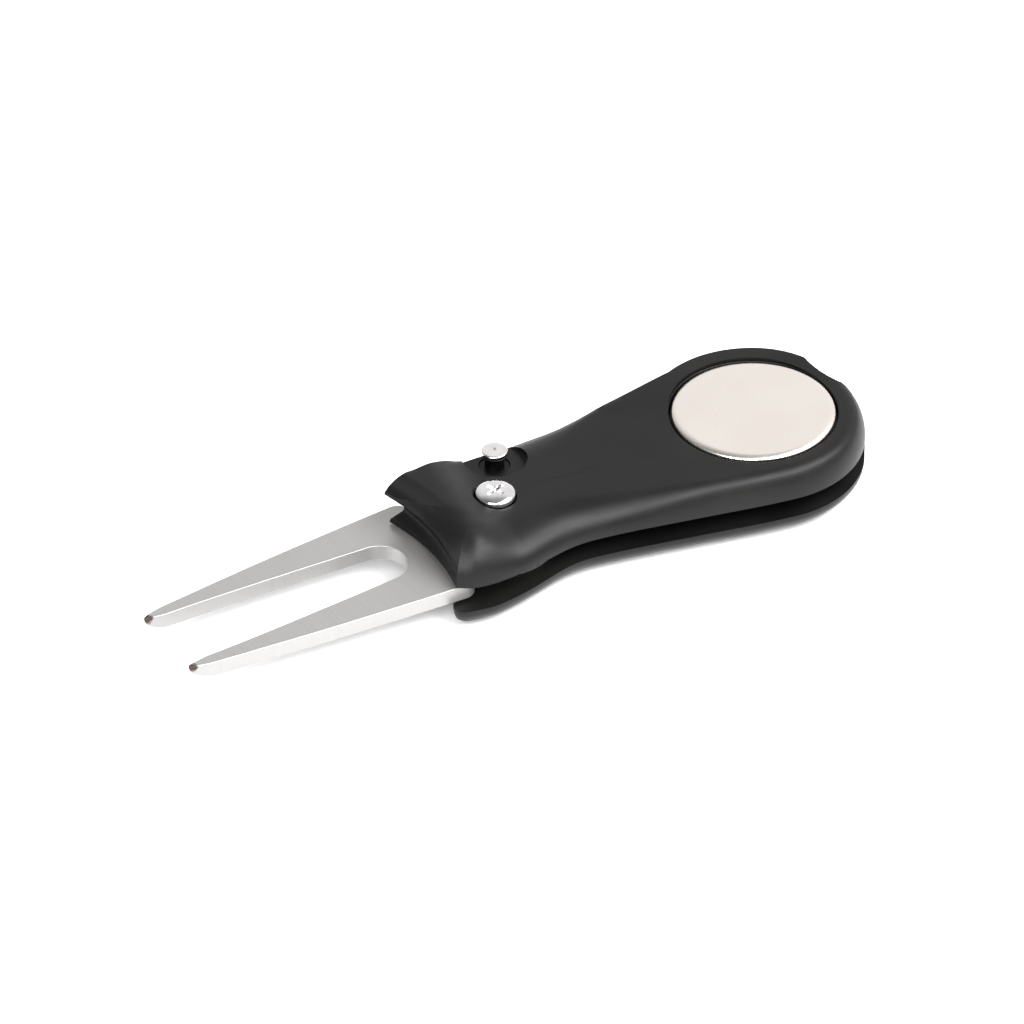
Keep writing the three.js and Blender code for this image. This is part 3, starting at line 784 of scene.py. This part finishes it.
# ---------------------------------------------------------------- materials
class Look:
    """A procedural material: shader sockets, and helpers that add texture nodes."""

    def __init__(self, name, metallic=0.0):
        self.material = bpy.data.materials.new(name)
        self.material.use_nodes = True
        self.nodes = self.material.node_tree.nodes
        self.links = self.material.node_tree.links
        self.shader = self.nodes["Principled BSDF"]
        self.shader.inputs["Metallic"].default_value = metallic
        self.shader.inputs["IOR"].default_value = 1.5
        self.coordinates = self.nodes.new("ShaderNodeTexCoord").outputs["Object"]

    def noise(self, per_mm, detail, stretch=(1, 1, 1)):
        """Noise with about per_mm features in a millimetre, drawn out by the stretch."""
        mapping = self.nodes.new("ShaderNodeMapping")
        scale = per_mm / MM
        mapping.inputs["Scale"].default_value = [scale / s for s in stretch]
        self.links.new(self.coordinates, mapping.inputs["Vector"])
        texture = self.nodes.new("ShaderNodeTexNoise")
        texture.inputs["Scale"].default_value = 1.0
        texture.inputs["Detail"].default_value = detail
        self.links.new(mapping.outputs["Vector"], texture.inputs["Vector"])
        return texture.outputs["Fac"]

    def spread(self, value, low, high, start=0.3, end=0.7):
        """Maps a value between start and end onto low to high."""
        node = self.nodes.new("ShaderNodeMapRange")
        node.inputs["From Min"].default_value = start
        node.inputs["From Max"].default_value = end
        node.inputs["To Min"].default_value = low
        node.inputs["To Max"].default_value = high
        self.links.new(value, node.inputs["Value"])
        return node.outputs["Result"]

    def math(self, operation, a, b):
        node = self.nodes.new("ShaderNodeMath")
        node.operation = operation
        for socket, value in zip(node.inputs, (a, b)):
            if isinstance(value, (int, float)):
                socket.default_value = value
            else:
                self.links.new(value, socket)
        return node.outputs["Value"]

    def mix(self, share, first, second):
        """Mixes two colours, each an RGB tuple or a socket."""
        node = self.nodes.new("ShaderNodeMix")
        node.data_type = "RGBA"
        self.links.new(share, node.inputs[0])
        for socket, colour in ((node.inputs[6], first), (node.inputs[7], second)):
            if isinstance(colour, tuple):
                socket.default_value = (*colour, 1)
            else:
                self.links.new(colour, socket)
        return node.outputs[2]

    def axis(self, name):
        """One object coordinate, in millimetres."""
        node = self.nodes.new("ShaderNodeSeparateXYZ")
        self.links.new(self.coordinates, node.inputs["Vector"])
        return self.math("DIVIDE", node.outputs[name], MM)

    def set(self, socket, value):
        self.links.new(value, self.shader.inputs[socket])

    def bump(self, height, depth_mm, strength):
        node = self.nodes.new("ShaderNodeBump")
        node.inputs["Distance"].default_value = depth_mm * MM
        node.inputs["Strength"].default_value = strength
        self.links.new(height, node.inputs["Height"])
        self.links.new(node.outputs["Normal"], self.shader.inputs["Normal"])


def black_plastic():
    """Satin moulded plastic: fine spark texture, cloudy gloss and faint handling marks."""
    look = Look("black_plastic")
    cloud = look.noise(0.12, 2)
    marks = look.noise(1.6, 4, stretch=(9, 1, 1))
    grain = look.noise(7, 2)
    dark, pale = (0.0035, 0.0033, 0.0032), (0.0055, 0.0053, 0.0051)
    look.set("Base Color", look.mix(look.spread(cloud, 0, 1), dark, pale))
    look.shader.inputs["Specular IOR Level"].default_value = 0.2
    gloss = look.math("ADD", look.spread(cloud, 0.38, 0.44), look.spread(marks, -0.02, 0.03))
    look.set("Roughness", gloss)
    look.bump(grain, 0.012, 0.5)
    return look.material


def satin_alloy():
    """Blanked sheet metal, satin, with cross brushing and darkened tips."""
    look = Look("satin_alloy", metallic=0.7)
    brushing = look.noise(5, 3, stretch=(1, 40, 40))
    cloud = look.noise(0.15, 2)
    tone = look.mix(look.spread(brushing, 0, 1), (0.325, 0.32, 0.315), (0.35, 0.344, 0.338))
    shadow = look.noise(1.1, 3)
    tip = look.math("ADD", look.axis("X"), look.spread(shadow, -0.5, 0.5))
    near_top = look.spread(look.axis("Z"), 0, 1, FORK_TOP_Z - 1.3, FORK_TOP_Z - 0.7)
    dark = look.math("MULTIPLY", near_top, look.spread(tip, 1, 0, TIP_X + 0.7, TIP_X + 1.2))
    look.set("Base Color", look.mix(dark, tone, (0.05, 0.035, 0.03)))
    rough = look.math("ADD", look.spread(brushing, 0.3, 0.4), look.spread(cloud, -0.02, 0.03))
    look.set("Roughness", rough)
    look.bump(brushing, 0.003, 0.3)
    return look.material


def nickel():
    """Satin nickel plate with a fine directional grain and cloudy tone."""
    look = Look("nickel", metallic=1.0)
    grain = look.noise(6, 3, stretch=(30, 1, 1))
    cloud = look.noise(0.1, 2)
    dark, pale = (0.84, 0.775, 0.725), (0.87, 0.81, 0.76)
    look.set("Base Color", look.mix(look.spread(cloud, 0, 1), dark, pale))
    rough = look.math("ADD", look.spread(grain, 0.24, 0.31), look.spread(cloud, -0.02, 0.02))
    look.set("Roughness", rough)
    look.bump(grain, 0.001, 0.25)
    return look.material


def chrome():
    """Bright plate with slight orange peel and duller patches."""
    look = Look("chrome", metallic=1.0)
    peel = look.noise(2.2, 2)
    patch = look.noise(0.9, 3)
    look.set("Base Color", look.mix(look.spread(patch, 0, 1), (0.72, 0.71, 0.71), (0.82, 0.81, 0.81)))
    look.set("Roughness", look.spread(patch, 0.08, 0.2))
    look.bump(peel, 0.01, 0.5)
    return look.material


def button_chrome():
    """Chrome on the button's cap, over a stem painted near-black and rougher below it: painted shade
    for the dark hole that the stem stands in.
    """
    look = Look("button_chrome", metallic=1.0)
    patch = look.noise(0.9, 3)
    bright = look.mix(look.spread(patch, 0, 1), (0.74, 0.72, 0.71), (0.84, 0.82, 0.81))
    # Painted shade: below the cap the stem is coloured black and made rougher, in place of the shade
    # in the hole round it.
    black = (0.02, 0.02, 0.02)
    painted_shade_mask = look.spread(look.axis("Z"), 1, 0, 12.04, 12.1)
    look.set("Base Color", look.mix(painted_shade_mask, bright, black))
    rough = look.math("ADD", look.spread(patch, 0.1, 0.22), look.math("MULTIPLY", painted_shade_mask, 0.25))
    look.set("Roughness", rough)
    look.bump(look.noise(2.2, 2), 0.01, 0.5)
    return look.material


def spring_steel():
    """Drawn or turned steel with an oily, streaky surface."""
    look = Look("spring_steel", metallic=1.0)
    streak = look.noise(2.5, 3)
    look.set("Base Color", look.mix(look.spread(streak, 0, 1), (0.36, 0.36, 0.37), (0.52, 0.52, 0.53)))
    look.set("Roughness", look.spread(streak, 0.24, 0.4))
    look.bump(streak, 0.008, 0.4)
    return look.material


def brass():
    """Turned brass, unevenly tarnished."""
    look = Look("brass", metallic=1.0)
    stain = look.noise(1.2, 3)
    look.set("Base Color", look.mix(look.spread(stain, 0, 1), (0.55, 0.38, 0.16), (0.7, 0.52, 0.26)))
    look.set("Roughness", look.spread(stain, 0.25, 0.42))
    look.bump(stain, 0.01, 0.4)
    return look.material


LOOKS = {
    "black_plastic": black_plastic(),
    "satin_alloy": satin_alloy(),
    "nickel": nickel(),
    "chrome": chrome(),
    "spring_steel": spring_steel(),
    "brass": brass(),
}


def dress(target, material):
    target.data.materials.clear()
    target.data.materials.append(material)


# ---------------------------------------------------------------- assembly
def place(made, node, body, slot, material=None):
    dress(made, material or LOOKS[slot])
    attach(made, body)
    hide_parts(node)


place(make_top_shell(), "top_shell", "handle", "black_plastic")
place(make_bottom_shell(), "bottom_shell", "handle", "black_plastic")
place(make_fork(), "fork", "fork", "satin_alloy")
place(make_screw(), "pivot_screw", "handle", "chrome")
place(make_button(), "release_button", "release_button", "chrome", button_chrome())
place(make_marker(), "ball_marker", "ball_marker", "nickel")

REBUILT = {"top_shell", "bottom_shell", "fork", "pivot_screw", "release_button", "ball_marker"}
for part in frame["record"]["subparts"]:
    if part["node"] not in REBUILT:
        kept = frame["nodes"][part["node"]]
        dress(kept, LOOKS[part["material_slot"]])
        shade(kept, 40)


# ---------------------------------------------------------------- floor, light and camera
def make_floor():
    half = 3.0
    data = bpy.data.meshes.new("floor")
    corners = [(-half, -half, 0), (half, -half, 0), (half, half, 0), (-half, half, 0)]
    data.from_pydata(corners, [], [(0, 1, 2, 3)])
    floor = bpy.data.objects.new("floor", data)
    bpy.context.scene.collection.objects.link(floor)
    look = Look("floor")
    look.shader.inputs["Base Color"].default_value = (0.9, 0.9, 0.9, 1)
    look.shader.inputs["Roughness"].default_value = 0.9
    floor.data.materials.append(look.material)


def add_area(name, direction, distance, width, height, power):
    """A softbox that shines on the object from a direction, its width level."""
    lamp = bpy.data.lights.new(name, "AREA")
    lamp.shape = "RECTANGLE"
    lamp.size = width
    lamp.size_y = height
    lamp.energy = power
    holder = bpy.data.objects.new(name, lamp)
    away = Vector(direction).normalized()
    holder.location = TARGET + away * distance
    holder.rotation_euler = away.to_track_quat("Z", "Y").to_euler()
    bpy.context.scene.collection.objects.link(holder)


def add_camera(azimuth, elevation, roll, distance, lens):
    """A long-lens camera on the target. Azimuth 0 looks along +Y; azimuth and elevation in degrees."""
    a, e = math.radians(azimuth), math.radians(elevation)
    back = Vector((math.sin(a) * math.cos(e), -math.cos(a) * math.cos(e), math.sin(e)))
    right = Vector((math.cos(a), math.sin(a), 0))
    up = back.cross(right)
    data = bpy.data.cameras.new("camera")
    data.sensor_width = 36
    data.lens = lens
    data.clip_end = 20
    camera = bpy.data.objects.new("camera", data)
    turn = Matrix((right, up, back)).transposed().to_4x4()
    stand = Matrix.Translation(TARGET + back * distance)
    camera.matrix_world = stand @ turn @ Matrix.Rotation(roll, 4, "Z")
    bpy.context.scene.collection.objects.link(camera)
    bpy.context.scene.camera = camera


TARGET = Vector((-0.03967, 0.00299, 0.0068))
make_floor()
add_camera(-31.15, 36.94, math.radians(-0.23), 1.1628, 281.25)
add_area("key", (0.35, -0.45, 0.78), 0.7, 0.8, 0.35, 11)
add_area("fill", (-0.6, -0.55, 0.6), 0.9, 0.6, 0.6, 12)


def make_world():
    """A pale surround, dimmer on the left and overhead."""
    world = bpy.data.worlds.new("studio")
    world.use_nodes = True
    nodes, links = world.node_tree.nodes, world.node_tree.links
    coordinates = nodes.new("ShaderNodeTexCoord")
    split = nodes.new("ShaderNodeSeparateXYZ")
    links.new(coordinates.outputs["Generated"], split.inputs["Vector"])

    def fade(axis, start, end, low, high):
        node = nodes.new("ShaderNodeMapRange")
        node.interpolation_type = "SMOOTHSTEP"
        node.inputs["From Min"].default_value = start
        node.inputs["From Max"].default_value = end
        node.inputs["To Min"].default_value = low
        node.inputs["To Max"].default_value = high
        links.new(split.outputs[axis], node.inputs["Value"])
        return node.outputs["Result"]

    product = nodes.new("ShaderNodeMath")
    product.operation = "MULTIPLY"
    links.new(fade("X", -0.7, 0.3, 0.22, 1), product.inputs[0])
    links.new(fade("Z", 0.7, 0.95, 1, 0.4), product.inputs[1])
    links.new(product.outputs["Value"], nodes["Background"].inputs["Strength"])
    nodes["Background"].inputs["Color"].default_value = (1, 1, 1, 1)
    bpy.context.scene.world = world


make_world()
bpy.context.scene.view_settings.view_transform = "Standard"
